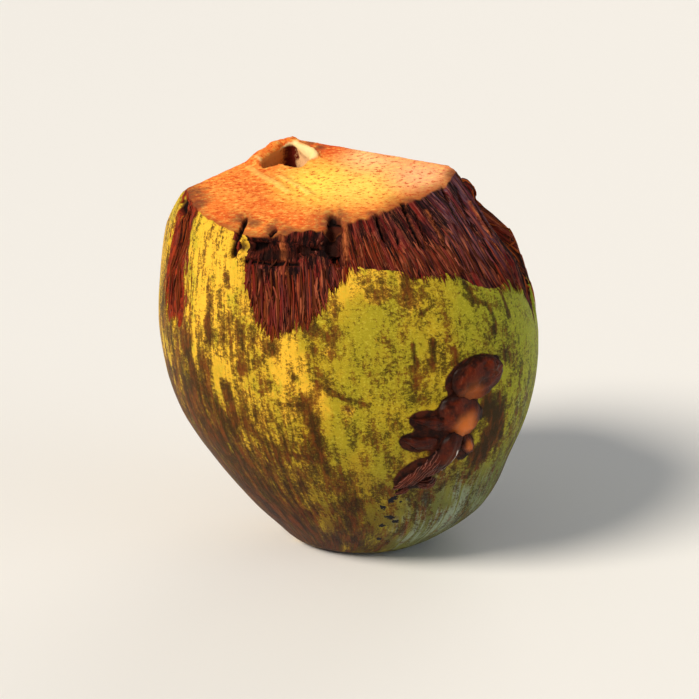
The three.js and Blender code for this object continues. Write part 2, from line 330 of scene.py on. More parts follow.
VEILS = [
    ([(-158, 112), (-148, 96), (-143, 78)], 13, 0.6),
    ([(-143, 78), (-138, 45), (-132, 12)], 15, 1.05),
    ([(-127, 76), (-122, 56), (-122, 30), (-118, 8)], 9, 0.6),
    ([(-160, 70), (-150, 40), (-140, 12)], 15, 0.8),
    ([(-112, 62), (-104, 60), (-98, 40), (-94, 10)], 8, 0.5),
    ([(-133, 112), (-118, 100)], 9, 0.42),
    ([(-100, 120), (-100, 95)], 7, 0.34),
    ([(-78, 128), (-68, 118), (-66, 100)], 9, 0.22),
    ([(-74, 98), (-70, 80)], 7, 0.3),
    ([(-85, 72), (-78, 60)], 8, 0.34), ([(-108, 82), (-112, 66)], 9, 0.36), ([(-90, 40), (-76, 46)], 9, 0.34),
    ([(-48, 128), (-42, 108)], 7, 0.34), ([(-53, 94), (-59, 77), (-63, 60), (-72, 49)], 12, 0.5),
    ([(-36, 100), (-40, 60)], 8, 0.32),
    ([(-70, 38), (-60, 50)], 7, 0.4), ([(-68, 34), (-77, 18)], 3, 0.5), ([(-84, 96), (-78, 70)], 9, 0.2),
    ([(-30, 60), (20, 40), (80, 50), (150, 44), (200, 40)], 22, 0.3),
    ([(20, 120), (60, 80), (110, 110), (150, 84)], 16, 0.3),
]
chance = random.Random(21)
REAR_STAINS = 26
for _ in range(REAR_STAINS):
    turned, low_end = chance.uniform(-22, 186), chance.uniform(5, 95)
    drift, reach = chance.uniform(-5, 5), chance.uniform(8, 34)
    route = [(turned, low_end), (turned + drift, low_end + reach)]
    STAINS.append((route, chance.uniform(1.5, 5), chance.uniform(0.55, 0.95)))

# Black specks under the scab: the turn, height and radius of each
SPECKS = [
    (-86, 33, 1.0), (-83.5, 35, 1.1), (-82, 37, 1.2), (-80, 38.5, 1.3), (-81, 29, 1.5), (-79, 26.5, 1.3),
    (-76, 37, 0.9), (-85, 24, 1.1), (-83, 23, 0.7), (-85, 15, 1.3), (-81, 20, 0.6), (-78, 41, 0.8),
]
GOLDEN_AND_WARM_LIGHT = [
    ([(-133, 140), (-136, 112)], 22, 1.0), ([(-111, 103), (-106, 88)], 10, 0.9),
    ([(-94, 128), (-80, 137)], 8, 0.7), ([(-112, 60), (-106, 50)], 9, 0.3),
]
COOL_SHEEN = [
    ([(-61, 47), (-46, 31)], 6, 0.6), ([(-56, 24), (-62, 15)], 9, 1.0), ([(-65, 37), (-76, 21)], 5, 0.6),
    ([(-41, 40), (-38, 24)], 9, 0.5), ([(-30, 70), (-26, 30)], 12, 0.4),
]


def painted(strokes):
    strength_at = np.zeros(len(spot))
    for route, half, strength in strokes:
        far = distance_to(spot, [skin_at(*stop) for stop in route]) * (1 + 0.9 * wander)
        strength_at = np.maximum(strength_at, strength * (1 - smooth_step(0.1 * half, 1.9 * half, far)))
    return strength_at


wander = grain(around, (5, 5, 11), 1.0) + 0.5 * grain(around, (2.2, 2.2, 5), 3.0)
stain = np.maximum(painted(STAINS), painted(VEILS))
# Painted sky reflection on the bare husk: strongest high on the front right, faint everywhere else
sky_reflection = smooth_step(-58, -38, facing) * smooth_step(-8, -26, facing) * smooth_step(124, 144, height)
sky_reflection = np.maximum(0.15, sky_reflection)

# Splits and pits in the cut husk: the route of each, half its width and its depth
SPLITS = [
    ([(-40.1, -41.9, 150.2), (-41.9, -51.2, 146.9), (-43.9, -51.9, 143.1), (-44.6, -53.4, 138.4)], 0.9, 2.4),
    ([(-28.3, -51, 148), (-29.8, -53.5, 146.8)], 0.8, 2.0),
    ([(-6.4, -45.5, 151), (-5.5, -55.2, 146.7), (-4.7, -60.7, 142.3), (-4.3, -65, 138.7)], 1.7, 3.0),
    ([(10.4, -43.7, 152.6), (11.7, -48.8, 148.7), (13.4, -53.4, 144.7)], 0.5, 1.8),
    ([(20.4, -37.8, 155.2), (23.9, -46.2, 148.5), (28.1, -52.5, 141.3)], 0.6, 2.0),
    ([(37, -28.1, 159), (39.4, -31.6, 154.6)], 0.6, 2.0),
    ([(-36.5, -55.6, 141.8), (-32.8, -56.8, 142.4)], 1.7, 2.8),
    ([(-14.5, -60.5, 144.2), (-8.9, -59.2, 144.2)], 0.9, 2.6),
    ([(-39.5, -56.2, 136.6), (-28.3, -59.7, 137.2), (-20, -62, 137.2)], 0.9, 1.8),
    ([(-66, -21.9, 151.5), (-65.5, -23.5, 149)], 1.7, 2.2),
    ([(2.5, -56, 149.5), (3.5, -61, 141)], 0.5, 1.6), ([(6.5, -50, 151), (8.5, -58, 143)], 0.4, 1.4),
    ([(17, -47, 151), (20, -57, 138.5)], 0.45, 1.6), ([(31, -38, 154), (36.5, -50, 141)], 0.5, 1.6),
    ([(-20.5, -56.5, 146), (-20, -61.5, 137)], 0.6, 1.6), ([(-31, -57, 144), (-30.5, -60, 137)], 0.5, 1.4),
    ([(43, -24, 156), (52, -36, 138)], 0.5, 1.4), ([(26, -42, 152), (31, -52, 139)], 0.4, 1.2),
    ([(-10, -60, 141), (-10.5, -65, 131)], 0.5, 1.2), ([(48, -18, 155), (57, -28, 140)], 0.4, 1.2),
]
FLATTER = np.array([1, 0.45, 1])


def on_route(route, half):
    far = distance_to(spot * FLATTER, [np.array(stop) * FLATTER for stop in route]) * (1 + 0.5 * wander)
    return 1 - smooth_step(0.5 * half, 1.5 * half, far)


split_open, sunk = np.zeros(len(spot)), np.zeros(len(spot))
for route, half, depth in SPLITS:
    gape = on_route(route, half)
    split_open = np.maximum(split_open, gape)
    sunk = np.maximum(sunk, depth * gape)

# Strands that stand out paler than the rest, the last of them a painted highlight along the side chop's
# front rim, and the dark, sunken husk under the rim at the left
PALE_STRANDS_AND_RIM_HIGHLIGHT = [
    ([(-26.1, -53.3, 147), (-25.6, -59.4, 141.2), (-24.8, -61.6, 133.9)], 1.3, 1.0),
    ([(-1.7, -49.5, 150), (-1.3, -58.2, 143.6), (-1.0, -63, 139.5)], 1.2, 0.9),
    ([(-8.5, -56, 147.5), (-8, -60, 143.5)], 0.9, 0.7),
    ([(22.5, -43, 151.5), (27, -51, 143)], 0.7, 0.8),
    ([(30, -39.5, 152.5), (37.5, -48, 140)], 0.6, 0.7),
    # Painted highlight along the side chop's front rim, also raised a little as a ridge
    ([(47.9, -23.7, 152.3), (55, -28, 141.1), (61.7, -31.9, 130.7), (68.4, -32.8, 117.8)], 0.7, 1.0),
]
pale_strand_and_rim_highlight = np.zeros(len(spot))
for route, half, strength in PALE_STRANDS_AND_RIM_HIGHLIGHT:
    pale_strand_and_rim_highlight = np.maximum(pale_strand_and_rim_highlight, strength * on_route(route, half))
# A dark, sunken patch of husk under the rim at the left
far = distance_to(spot, [np.array([-37, -55.5, 142]), np.array([-8, -60.5, 144])])
dark_under_rim = smooth_step(6.0, 4.2, far * (1 + 0.25 * wander)) * smooth_step(0, -0.8, rim)
dark_under_rim *= smooth_step(-122.6, -121.4, facing)

# Grey-brown drying on the fresh face, where splits run in from its rim: middle in plan and reach
DRIED = [
    (-41, -43, 6), (-37, -46, 4), (-28, -50, 6), (-24, -52, 4), (-6, -46, 8), (-9, -50, 5), (10, -45, 4),
    (24, -38, 4), (38, -30, 5), (-62, -22, 7), (-60, -30, 5), (42, -19, 5), (-16, 11, 3.4), (-12, 7, 3.4),
]
smoky = np.zeros(len(spot))
for x, y, reach in DRIED:
    far = np.hypot(spot[:, 0] - x, spot[:, 1] - y) * (1 + 0.6 * wander)
    smoky = np.maximum(smoky, 1 - smooth_step(0.2 * reach, 1.2 * reach, far))
golden_and_warm_light = painted(GOLDEN_AND_WARM_LIGHT)
cool_sheen = painted(COOL_SHEEN)
speck = np.zeros(len(spot))
for turned, level, size in SPECKS:
    far = np.linalg.norm(spot - skin_at(turned, level), axis=1)
    speck = np.maximum(speck, 1 - smooth_step(0.6 * size, 1.3 * size, far))

# The relief: fibres stand up where the rind is gone, and the rind itself is only gently uneven
fibre = 1 - 2 * np.abs(grain(around, (2.2, 2.2, 26)))
slab = grain(around, (7, 7, 44), 4.0)
tatter = grain(around, (3.2, 3.2, 16), 9.0)
on_side = smooth_step(0.2, -0.8, rim)
husk_bare = smooth_step(-0.5, 1.2, shaved + 5 * tatter) * on_side
torn = smooth_step(1.2, 3.0, in_side) * on_side
uneven = grain(spot, (22, 22, 30), 2.0) * 0.35 + grain(spot, (7, 7, 9), 6.0) * 0.12
across_blade = np.array([[0.8, -0.6, 0], [0.6, 0.8, 0], [0, 0, 1]])
top_wave = grain(spot @ across_blade, (3, 14, 14), 3.0)
off_floor = smooth_step(0.3, 3, height)
lid_part = smooth_step(-0.2, 0.8, rim)
lift = uneven * (1 - husk_bare) * smooth_step(0.5, -0.5, raised)
RIND_THICK, FIBRE_RISE, SLAB_RISE, TORN_RISE = 0.75, 0.55, 0.7, 0.9
lift += husk_bare * (FIBRE_RISE * fibre - RIND_THICK + SLAB_RISE * slab) + torn * TORN_RISE * fibre
BLADE_RISE = 0.16
lift += lid_part * BLADE_RISE * top_wave
DARK_PATCH_RISE, DARK_PATCH_SUNK, STRAND_RISE = 0.5, 1.1, 0.9
lift += dark_under_rim * (DARK_PATCH_RISE * grain(spot, (1.6, 1.6, 1.6), 8.0) - DARK_PATCH_SUNK)
lift += STRAND_RISE * pale_strand_and_rim_highlight * (1 - lid_part)

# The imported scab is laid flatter, because its flakes are a piece of their own here
SCAB_PRESSED = 0.65
lift -= sunk + SCAB_PRESSED * np.clip(raised, 0, 5)


def from_above(route):
    in_plan = np.stack([spot[:, 0], spot[:, 1], np.zeros(len(spot))], axis=1)
    return distance_to(in_plan, [np.array([*stop, 0.0]) for stop in route])


# Husk that the blade heaped up on the fresh face: the hole's two lips and two low ridges, each with its
# route in plan, half its width and its rise. All but the first, which is broad, get a painted highlight on
# their crest and painted shade beside it.
HEAPS = [
    ([(-38, 0), (-35, 7), (-31, 12), (-26.5, 14)], 3.4, 1.9),
    ([(-22.5, 11.5), (-19.5, 6.5), (-16.5, 2.5), (-14, 0)], 1.5, 0.9),
    ([(-41, -5.5), (-35, -13), (-29.8, -18.2), (-25, -25)], 1.6, 0.7),
    ([(-28, -13.5), (-20.5, -22), (-16, -28)], 1.2, 0.5),
]
near_face = smooth_step(3, 0.5, deep) * lid_part
heaped, ridge_light_and_shade = np.zeros(len(spot)), np.zeros(len(spot))
for route, half, rise in HEAPS:
    far = from_above(route) * (1 + 0.4 * wander)
    heaped = np.maximum(heaped, rise * (1 - smooth_step(0.2 * half, 1.7 * half, far)))
    if rise < 1:
        ridge_light_and_shade = np.maximum(ridge_light_and_shade, 1 - smooth_step(0.4 * half, 1.1 * half, far))
        groove_shade = smooth_step(0.9 * half, 1.4 * half, far) * smooth_step(2.2 * half, 1.5 * half, far)
        ridge_light_and_shade -= 0.8 * groove_shade
lift += heaped * near_face

# Lobes of husk that swell behind the side chop: middle, stretch, rise, and where it starts and stops fading
LOBES = [
    ([63, 22, 139], [1, 1.6, 1.6], 4.4, 4, 17),
    ([56, 17, 150], [1, 1.6, 1.2], 1.6, 2, 12),
]
for middle, stretch, rise, full, none in LOBES:
    far = np.linalg.norm((spot - middle) / stretch, axis=1)
    lift += rise * (1 - smooth_step(full, none, far)) * (1 - lid_part)
lift *= off_floor

# Painted highlights along the edges of the hole, its torn flap, cream partly from its cut husk and partly
# as painted light, and rust at the band's left end and on the strip
HOLE_EDGE = [(-37.8, -0.1), (-35, -3.6), (-28.4, -0.3), (-23, -4.4), (-19.2, -3), (-16, -1), (-14.5, 1)]
FLAP_EDGE = [(-22.5, 11), (-20, 6), (-17, 2), (-14.5, -0.5)]
hole_edge_highlight = 1 - smooth_step(0.3, 0.8, from_above(HOLE_EDGE))
flap = 1 - smooth_step(0.8, 1.9, from_above(FLAP_EDGE))
rust = smooth_step(16, 3, above_edge) * smooth_step(-92, -102, facing) + smooth_step(-146, -149, facing)
skin.vertices.foreach_set("co", in_metres(spot).ravel())
skin.update()
facing_out = np.empty(len(spot) * 3)
skin.vertices.foreach_get("normal", facing_out)
spot += facing_out.reshape(-1, 3) * lift[:, None]
skin.vertices.foreach_set("co", in_metres(spot).ravel())
skin.update()

for name, values in {
    "around": around, "rim": rim, "shaved": shaved, "deep": deep, "raised": raised, "stain": stain,
    "sky_reflection": sky_reflection, "golden_and_warm_light": golden_and_warm_light, "cool_sheen": cool_sheen, "speck": speck, "torn": in_notch, "smoky": smoky,
    "well": well, "split": split_open, "tan": pale_strand_and_rim_highlight, "dark_under_rim": dark_under_rim, "ridge_light_and_shade": ridge_light_and_shade,
    "rust": rust, "hole edge highlight": hole_edge_highlight, "flap": flap,
}.items():
    store(skin, name, values)


# Helpers for the finishes, which are drawn by nodes
def tone(red, green, blue):
    shares = [channel / 255 for channel in (red, green, blue)]
    linear = [s / 12.92 if s <= 10 / 255 else ((s + 0.055) / 1.055) ** 2.4 for s in shares]
    return (*linear, 1.0)


def put(tree, kind, **settings):
    made = tree.nodes.new(kind)
    for name, value in settings.items():
        setattr(made, name, value)
    return made


def feed(tree, source, socket):
    if isinstance(source, bpy.types.NodeSocket):
        tree.links.new(source, socket)
    else:
        socket.default_value = source


def group(name, takes, gives):
    tree = bpy.data.node_groups.new(name, "ShaderNodeTree")
    for label, kind in takes.items():
        tree.interface.new_socket(name=label, in_out="INPUT", socket_type=kind)
    for label, kind in gives.items():
        tree.interface.new_socket(name=label, in_out="OUTPUT", socket_type=kind)
    return tree, put(tree, "NodeGroupInput").outputs, put(tree, "NodeGroupOutput").inputs


def placed(tree, part, **values):
    made = put(tree, "ShaderNodeGroup", node_tree=part)
    for name, value in values.items():
        feed(tree, value, made.inputs[name])
    return made.outputs


def pattern(tree, vector, size, scale, detail=3.0, rough=0.55, shift=0.0):
    spread = put(tree, "ShaderNodeMapping")
    spread.inputs["Scale"].default_value = size
    spread.inputs["Location"].default_value = (shift, shift, shift)
    feed(tree, vector, spread.inputs["Vector"])
    made = put(tree, "ShaderNodeTexNoise")
    feed(tree, spread.outputs[0], made.inputs["Vector"])
    made.inputs["Scale"].default_value = scale
    made.inputs["Detail"].default_value = detail
    made.inputs["Roughness"].default_value = rough
    return made.outputs["Fac"]


def maths(tree, operation, first, second=0.0, third=0.0):
    made = put(tree, "ShaderNodeMath", operation=operation)
    for socket, value in zip(made.inputs, (first, second, third)):
        feed(tree, value, socket)
    return made.outputs[0]


def times(tree, first, second):
    return maths(tree, "MULTIPLY", first, second)


def sway(tree, noise_of, reach, base):
    return maths(tree, "MULTIPLY_ADD", maths(tree, "SUBTRACT", noise_of, 0.5), reach, base)


def sides_of(tree, vector):
    made = put(tree, "ShaderNodeSeparateXYZ")
    feed(tree, vector, made.inputs[0])
    return made.outputs


def fade(tree, value, low, high, start=0.0, end=1.0):
    made = put(tree, "ShaderNodeMapRange", interpolation_type="SMOOTHSTEP")
    for socket, source in zip(made.inputs, (value, low, high, start, end)):
        feed(tree, source, socket)
    return made.outputs[0]


def blend(tree, share, first, second):
    made = put(tree, "ShaderNodeMix", data_type="RGBA")
    feed(tree, share, made.inputs[0])
    feed(tree, first, made.inputs[6])
    feed(tree, second, made.inputs[7])
    return made.outputs[2]


def layer(tree, name, vector=False):
    made = put(tree, "ShaderNodeAttribute", attribute_name=name)
    return made.outputs["Vector" if vector else "Fac"]


def emboss(tree, height_of, strength, distance):
    bump = put(tree, "ShaderNodeBump")
    bump.inputs["Strength"].default_value = strength
    bump.inputs["Distance"].default_value = distance
    feed(tree, height_of, bump.inputs["Height"])
    feed(tree, bump.outputs[0], tree.nodes["Principled BSDF"].inputs["Normal"])


# The rind is waxy, golden where the sun reached it, olive in front and green at the right, with brown rub
# marks and a peppering of fine corky specks. Its gold is stronger at the lit left as painted warm light, its
# right is greener partly as painted cool light, and it carries painted shade at the lower right and towards
# the bottom, and a painted cool sheen at the lower right.
rind, given, gives = group(
    "rind",
    {
        "Around": "NodeSocketVector", "Stain": "NodeSocketFloat", "Golden": "NodeSocketFloat",
        "Chalky": "NodeSocketFloat", "Speck": "NodeSocketFloat",
    },
    {"Colour": "NodeSocketColor", "Roughness": "NodeSocketFloat", "Height": "NodeSocketFloat"},
)
lies = sides_of(rind, given["Around"])
cloud = pattern(rind, given["Around"], (1, 1, 0.6), 0.045, 4, 0.62)
mottle = pattern(rind, given["Around"], (1, 1, 0.6), 0.17, 5, 0.7, 7.0)
streak = pattern(rind, given["Around"], (1, 1, 0.07), 0.5, 4, 0.65, 3.0)
pepper = pattern(rind, given["Around"], (1, 1, 1.3), 0.62, 6, 0.9, 1.0)
fleck = pattern(rind, given["Around"], (1, 1, 1.6), 0.95, 2, 0.6, 11.0)
olive = blend(rind, fade(rind, cloud, 0.36, 0.64), tone(196, 160, 34), tone(166, 150, 32))
# The right turns greener: partly the rind's own colour, partly painted cool light on the fill side
right = fade(rind, lies["X"], 18.0, 74.0)
olive = blend(rind, right, olive, tone(150, 158, 38))
# More gold towards the left: partly sun-ripened rind, partly painted warm light on the key lamp's side
left = fade(rind, lies["X"], 4.0, -46.0)
gold = maths(rind, "MAXIMUM", given["Golden"], times(rind, left, 0.55))
gold = fade(rind, sway(rind, mottle, 1.4, gold), 0.1, 0.85)
lime = pattern(rind, given["Around"], (1, 1, 0.7), 0.1, 5, 0.7, 23.0)
golden_tone = blend(rind, fade(rind, lime, 0.5, 0.64), tone(248, 190, 54), tone(208, 178, 44))
ground = blend(rind, gold, olive, golden_tone)
ground = blend(rind, fade(rind, fleck, 0.5, 0.72, 0.0, 0.5), ground, tone(214, 196, 66))
# Painted cool sheen: pale grey-blue streaks at the lower right
cool_sheen_share = fade(rind, times(rind, given["Chalky"], fade(rind, streak, 0.42, 0.58, 0.2, 1.0)), 0.1, 0.8)
# Painted shade: darker and browner towards the bottom, where the rind is also browner
low = fade(rind, lies["Z"], 84.0, 8.0)
low_shade_tone = blend(rind, left, tone(80, 58, 18), tone(70, 32, 4))
ground = blend(rind, times(rind, low, fade(rind, lime, 0.56, 0.46, 0.35, 0.85)), ground, low_shade_tone)
shaded = times(rind, fade(rind, lies["X"], 0.0, 30.0), fade(rind, lies["Z"], 70.0, 34.0))
ground = blend(rind, times(rind, shaded, 0.8), ground, tone(94, 104, 56))
ground = blend(rind, times(rind, cool_sheen_share, 0.75), ground, tone(146, 160, 140))
rub = sway(rind, mottle, 2.3, given["Stain"])
rub = sway(rind, pepper, 3.8, rub)
rub = sway(rind, streak, maths(rind, "MULTIPLY_ADD", left, 1.9, 0.6), rub)
rub = maths(rind, "MULTIPLY_ADD", low, 0.1, rub)
rub = maths(rind, "ADD", rub, maths(rind, "MULTIPLY_ADD", left, 0.08, 0.14))
shade = pattern(rind, given["Around"], (1, 1, 0.3), 0.36, 5, 0.75, 31.0)
rub_tone = blend(rind, fade(rind, shade, 0.42, 0.66), tone(38, 14, 5), tone(106, 46, 14))
ground = blend(rind, fade(rind, rub, 0.2, 0.62, 0.0, 0.8), ground, rub_tone)
ground = blend(rind, fade(rind, rub, 0.6, 1.2, 0.0, 0.8), ground, rub_tone)
specks = sway(rind, fleck, 1.4, times(rind, given["Speck"], 1.3))
ground = blend(rind, fade(rind, specks, 0.42, 0.6), ground, tone(18, 18, 26))
feed(rind, ground, gives["Colour"])
feed(rind, fade(rind, rub, 0.2, 0.9, 0.42, 0.62), gives["Roughness"])
feed(rind, maths(rind, "MULTIPLY_ADD", streak, 0.5, times(rind, pepper, 0.9)), gives["Height"])

# Bare husk is red-brown fibre that runs down the fruit, with painted shade in black gaps between fibres,
# painted highlights on thin tan lines and paler lumps, and a painted grey sky reflection
fibres, given, gives = group(
    "fibres", {"Around": "NodeSocketVector", "Dry": "NodeSocketFloat", "Grey": "NodeSocketFloat"},
    {"Colour": "NodeSocketColor", "Height": "NodeSocketFloat"},
)
thread = pattern(fibres, given["Around"], (1, 1, 0.05), 0.8, 4, 0.7)
strand = pattern(fibres, given["Around"], (1, 1, 0.09), 0.42, 4, 0.68, 5.0)
patch = pattern(fibres, given["Around"], (1, 1, 0.6), 0.11, 4, 0.65, 8.0)
lump = pattern(fibres, given["Around"], (1, 1, 0.35), 0.5, 4, 0.65, 14.0)
coat = blend(fibres, fade(fibres, patch, 0.38, 0.62), tone(114, 24, 10), tone(46, 9, 10))
# Paler red-orange on the lumps is painted highlight
coat = blend(fibres, fade(fibres, lump, 0.46, 0.7, 0.0, 0.5), coat, tone(150, 58, 24))
seam = maths(fibres, "ABSOLUTE", maths(fibres, "SUBTRACT", strand, 0.47))
# Painted shade in the gaps between fibres
fibre_gap_shade = maths(fibres, "MAXIMUM", fade(fibres, seam, 0.05, 0.015), fade(fibres, strand, 0.46, 0.4))
# Painted highlights along thin lines of fibre
fibre_highlight = maths(fibres, "ABSOLUTE", maths(fibres, "SUBTRACT", thread, 0.53))
fibre_highlight = times(fibres, fade(fibres, fibre_highlight, 0.03, 0.006), fade(fibres, lump, 0.42, 0.56))
# Painted grey sky reflection
sky_reflection_share = times(fibres, given["Grey"], fade(fibres, lump, 0.4, 0.6, 0.2, 0.85))
coat = blend(fibres, sky_reflection_share, coat, tone(88, 70, 86))
coat = blend(fibres, times(fibres, fibre_gap_shade, 0.93), coat, tone(8, 3, 3))
coat = blend(fibres, times(fibres, fibre_highlight, 0.6), coat, tone(184, 100, 66))
coat = blend(fibres, times(fibres, given["Dry"], 0.7), coat, tone(184, 88, 36))
feed(fibres, coat, gives["Colour"])
ridge = maths(fibres, "MULTIPLY_ADD", thread, 0.7, strand)
feed(fibres, maths(fibres, "SUBTRACT", ridge, times(fibres, fibre_gap_shade, 0.45)), gives["Height"])

# The fresh face is moist pale husk, yellow in the middle and orange towards its browning rim, with the
# ends of the fibres as fine orange dashes
fresh, given, gives = group(
    "fresh cut", {"Place": "NodeSocketVector", "Rim": "NodeSocketFloat"},
    {"Colour": "NodeSocketColor", "Height": "NodeSocketFloat"},
)


def glow(tree, vector, centre, reach):
    near = put(tree, "ShaderNodeVectorMath", operation="DISTANCE")
    feed(tree, vector, near.inputs[0])
    near.inputs[1].default_value = centre
    return fade(tree, near.outputs["Value"], reach, 0.0)


cloud = pattern(fresh, given["Place"], (1, 1, 1), 0.07, 4, 0.6)
dash = pattern(fresh, given["Place"], (0.6, 1, 1), 0.85, 3, 0.7)
pulp = pattern(fresh, given["Place"], (0.5, 1, 1), 0.22, 6, 0.8, 4.0)
face = blend(fresh, fade(fresh, cloud, 0.34, 0.66), tone(232, 108, 42), tone(248, 134, 54))
face = blend(fresh, fade(fresh, pulp, 0.44, 0.66, 0.0, 0.55), face, tone(255, 186, 84))
for centre, reach, colour in (
    ((-12.0, -20.0, 159.0), 26.0, tone(255, 226, 88)),
    ((6.0, -24.0, 158.0), 24.0, tone(255, 214, 96)),
    ((28.0, -18.0, 161.0), 22.0, tone(250, 186, 132)),
    ((10.0, -2.0, 167.0), 22.0, tone(255, 206, 140)),
    ((-8.0, 8.0, 169.0), 16.0, tone(226, 92, 38)),
    ((16.0, 3.0, 168.0), 12.0, tone(232, 100, 44)),
):
    face = blend(fresh, glow(fresh, given["Place"], centre, reach), face, colour)
face = blend(fresh, fade(fresh, dash, 0.54, 0.64, 0.0, 0.85), face, tone(206, 70, 20))
face = blend(fresh, fade(fresh, dash, 0.47, 0.36, 0.0, 0.4), face, tone(255, 232, 120))
face = blend(fresh, fade(fresh, pulp, 0.55, 0.68, 0.0, 0.5), face, tone(226, 98, 40))
edge = sway(fresh, cloud, -9.0, given["Rim"])
face = blend(fresh, fade(fresh, edge, 4.0, -0.6, 0.0, 0.75), face, tone(140, 74, 36))
feed(fresh, face, gives["Colour"])
feed(fresh, maths(fresh, "MULTIPLY_ADD", dash, -0.6, pulp), gives["Height"])

# The whole finish: rind, then bare fibre, the pressed scab, the fresh face, the well and the splits, each
# laid over the one before by its own mask
coconut = bpy.data.materials.new("coconut")
coconut.use_nodes = True
tree = coconut.node_tree
shader = tree.nodes["Principled BSDF"]
around_it = layer(tree, "around", True)
place = put(tree, "ShaderNodeTexCoord").outputs["Object"]
in_mm = put(tree, "ShaderNodeMapping")
in_mm.inputs["Scale"].default_value = (MM, MM, MM)
in_mm.inputs["Location"].default_value = tuple(-MIDDLE)
feed(tree, place, in_mm.inputs[0])
rim_of = layer(tree, "rim")
shaved_of = layer(tree, "shaved")
deep_of = layer(tree, "deep")
raised_of = layer(tree, "raised")
rind_look = placed(
    tree, rind, Around=around_it, Stain=layer(tree, "stain"), Golden=layer(tree, "golden_and_warm_light"),
    Chalky=layer(tree, "cool_sheen"), Speck=layer(tree, "speck"),
)
torn_light = pattern(tree, around_it, (1, 1, 0.12), 0.2, 4, 0.6, 6.0)
torn_of = layer(tree, "torn")
dry = times(tree, torn_of, fade(tree, torn_light, 0.42, 0.6, 0.1, 0.8))
fibre_look = placed(tree, fibres, Around=around_it, Dry=dry, Grey=layer(tree, "sky_reflection"))
fresh_look = placed(tree, fresh, Place=in_mm.outputs[0], Rim=rim_of)
frayed = pattern(tree, around_it, (1, 1, 0.1), 0.42, 4, 0.7, 2.0)
band = fade(tree, sway(tree, frayed, 26.0, shaved_of), -0.4, 0.9)
lid = fade(tree, rim_of, -0.4, 0.25)
# Painted shade in recesses: the deeper a place lies under the cut surfaces, the darker it is painted, except
# in the side chop
recess_shade = times(tree, fade(tree, deep_of, 0.7, 2.4), maths(tree, "SUBTRACT", 1.0, torn_of))
chunk = pattern(tree, around_it, (1, 1, 0.5), 0.55, 5, 0.75, 20.0)
# The dark patch under the rim: near-black and red-brown, with pale pink painted highlights on its chunks
dark_patch_tone = blend(tree, fade(tree, chunk, 0.48, 0.62), tone(12, 5, 5), tone(112, 44, 30))
dark_patch_tone = blend(tree, fade(tree, chunk, 0.62, 0.7, 0.0, 0.8), dark_patch_tone, tone(190, 140, 120))
rusty = times(tree, layer(tree, "rust"), fade(tree, chunk, 0.4, 0.6, 0.1, 0.7))
dark_under_rim_of = layer(tree, "dark_under_rim")
husk_tone = blend(tree, rusty, fibre_look["Colour"], tone(158, 54, 24))
husk_tone = blend(tree, times(tree, dark_under_rim_of, 0.85), husk_tone, dark_patch_tone)
# Tan for the pale strands and for the painted highlight on the side chop's rim
tan_tone = blend(tree, fade(tree, chunk, 0.4, 0.6), tone(112, 44, 20), tone(206, 112, 60))
husk_tone = blend(tree, times(tree, layer(tree, "tan"), 0.8), husk_tone, tan_tone)
bare_fibre = blend(tree, times(tree, recess_shade, 0.8), husk_tone, tone(14, 6, 5))
colour = blend(tree, band, rind_look["Colour"], bare_fibre)
colour = blend(tree, times(tree, recess_shade, 0.85), colour, tone(40, 16, 10))
scab = fade(tree, raised_of, 0.25, 0.7)
crust = pattern(tree, in_mm.outputs[0], (1, 1, 1), 0.28, 4, 0.6, 3.0)
crust_colour = blend(tree, fade(tree, crust, 0.4, 0.66), tone(30, 12, 8), tone(70, 28, 14))
colour = blend(tree, scab, colour, crust_colour)
dried = times(tree, layer(tree, "smoky"), fade(tree, crust, 0.36, 0.56, 0.45, 0.85))
face_colour = blend(tree, dried, fresh_look["Colour"], tone(112, 62, 40))
# Painted highlight on the ridges' crests and painted shade in the grooves beside them
ridge_light_and_shade_of = layer(tree, "ridge_light_and_shade")
face_colour = blend(tree, fade(tree, ridge_light_and_shade_of, 0.05, 0.9, 0.0, 0.36), face_colour, tone(255, 222, 120))
face_colour = blend(tree, fade(tree, ridge_light_and_shade_of, -0.05, -0.7, 0.0, 0.3), face_colour, tone(206, 92, 40))
# The flap's cream is partly cut husk and partly painted light; the hole's edge gets a painted highlight
face_colour = blend(tree, times(tree, layer(tree, "flap"), 0.9), face_colour, tone(255, 226, 164))
face_colour = blend(tree, times(tree, layer(tree, "hole edge highlight"), 0.7), face_colour, tone(255, 226, 150))
colour = blend(tree, lid, colour, face_colour)

# The well: tan at the left, dark red at the back as painted shade where its walls meet, cream at the lit
# right partly as painted light, and darker downwards as painted shade
wavering_x = sway(tree, crust, 9.0, sides_of(tree, in_mm.outputs[0])["X"])
wall = blend(tree, fade(tree, wavering_x, -29.0, -26.0), tone(226, 134, 66), tone(96, 26, 14))
wall = blend(tree, fade(tree, wavering_x, -22.6, -20.4), wall, tone(250, 196, 138))
wall = blend(tree, fade(tree, crust, 0.56, 0.66, 0.0, 0.4), wall, tone(150, 70, 34))
# Painted shade: the well darkens downwards
wall = blend(tree, fade(tree, deep_of, 4.0, 17.0, 0.0, 0.94), wall, tone(34, 10, 6))
well_of = layer(tree, "well")
in_well = times(tree, fade(tree, deep_of, 0.5, 1.4), well_of)
# A thin painted highlight round the well's lip, orange at the left and cream at the right
lip = times(tree, fade(tree, deep_of, 0.2, 0.6), well_of)
lip_highlight_tone = blend(tree, fade(tree, wavering_x, -31.0, -24.0), tone(216, 126, 58), tone(255, 222, 156))
